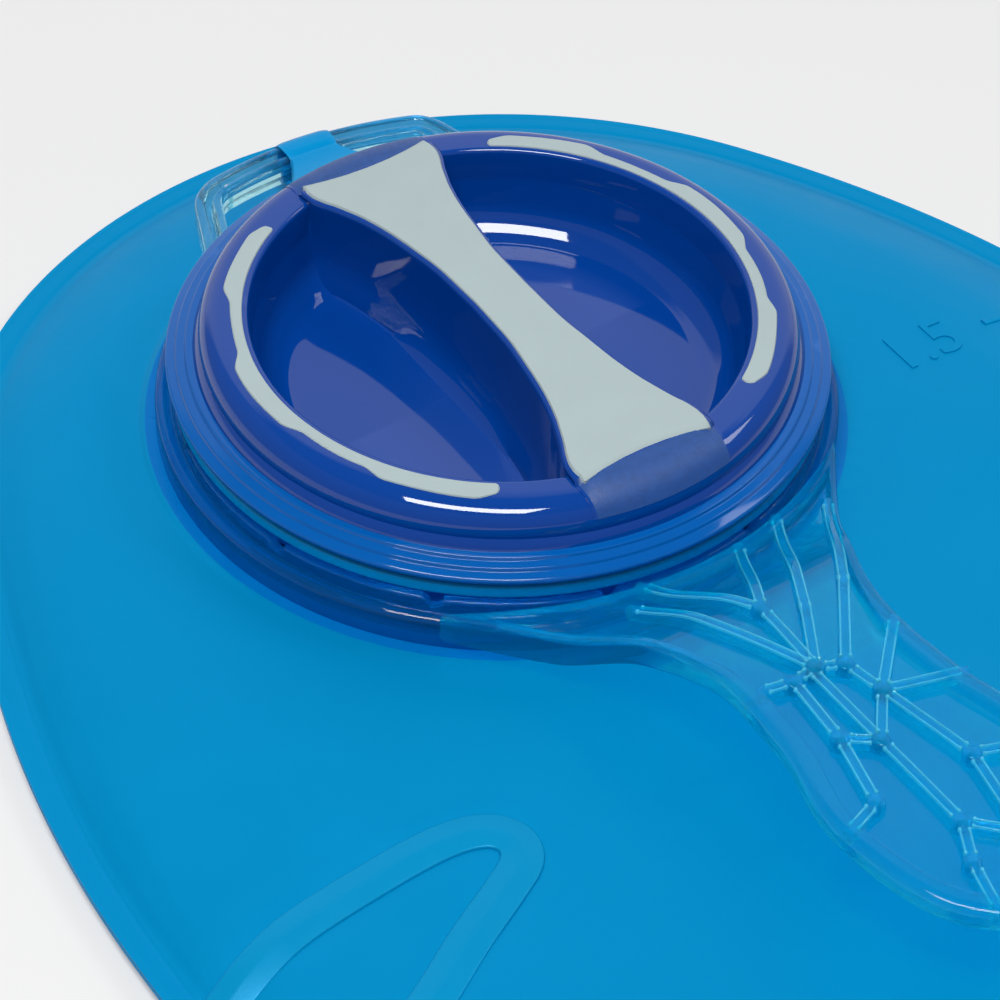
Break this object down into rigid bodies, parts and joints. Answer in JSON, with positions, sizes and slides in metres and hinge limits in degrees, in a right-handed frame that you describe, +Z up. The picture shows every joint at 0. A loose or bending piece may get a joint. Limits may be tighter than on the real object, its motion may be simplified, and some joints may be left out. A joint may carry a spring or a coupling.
{
  "type": "hydration bladder",
  "caption": "Flat flexible water reservoir with a screw-in filling cap, clear carrying handle, hanging rail, captive cap tether and a self-closing tube outlet.",
  "frame": {"origin": "middle of the base, on the surface that the back film lies on", "axes": "+Z up out of the front film, +Y along the bag towards the filling cap, +X to the right seen from the front with the cap at the top"},
  "size_m": [0.197, 0.339, 0.0319],
  "materials": {
    "film": "satin translucent film",
    "weld_ring": "satin",
    "clear_blue": "polished transparent",
    "clear": "polished transparent",
    "cap_blue": "gloss",
    "ring_blue": "gloss",
    "grey_grip": "matte soft",
    "tether": "satin soft",
    "seal": "matte",
    "fitting": "satin gloss",
    "valve": "satin",
    "latch_grey": "satin",
    "spring_steel": "bright wire"
  },
  "bodies": {
    "root": {"front_film": "film", "back_film": "film", "port_flange": "weld_ring", "port_collar": "clear_blue", "handle": "clear_blue", "rail": "clear", "outlet_flange": "weld_ring", "outlet_body": "fitting", "outlet_end_cap": "fitting", "socket_seal": "seal", "poppet_spring": "spring_steel", "latch_spring": "spring_steel"},
    "tether_loop": {"tether_loop": "tether", "tether_strap": "tether"},
    "tether_ring": {"tether_ring": "tether"},
    "cap": {"cap_top": "cap_blue", "cap_thread_ring": "ring_blue", "cap_seal": "seal", "grip_inlay": "grey_grip", "rim_inlay_left": "grey_grip", "rim_inlay_right": "grey_grip"},
    "poppet": {"valve_poppet": "valve", "poppet_seal": "seal"},
    "latch": {"release_latch": "latch_grey"}
  },
  "joints": [
    {"name": "loop_slide", "type": "hinge", "parent": "root", "child": "tether_loop", "pos_m": [0, 0.0925, 0.0144], "axis": [0, 0, 1], "range_deg": [-8, 8]},
    {"name": "cap_rise", "type": "slide", "parent": "tether_loop", "child": "tether_ring", "axis": [0, 0, 1], "range_m": [0, 0.00599], "deforming": ["tether_strap"]},
    {"name": "cap_turn", "type": "hinge", "parent": "tether_ring", "child": "cap", "pos_m": [0, 0.0925, 0.0185], "axis": [0, 0, 1], "range_deg": [0, 90]},
    {"name": "poppet_open", "type": "slide", "parent": "root", "child": "poppet", "axis": [-1, 0, 0], "range_m": [0, 0.0025], "stiffness_N_per_m": 150, "springref_m": -0.003, "deforming": ["poppet_spring"]},
    {"name": "latch_press", "type": "slide", "parent": "root", "child": "latch", "axis": [0, 0, -1], "range_m": [0, 0.0013], "stiffness_N_per_m": 400, "springref_m": -0.001, "deforming": ["latch_spring"]}
  ],
  "couplings": [
    {"joint": "cap_turn", "follows": "cap_rise", "rad_per_m": 261.8}
  ]
}
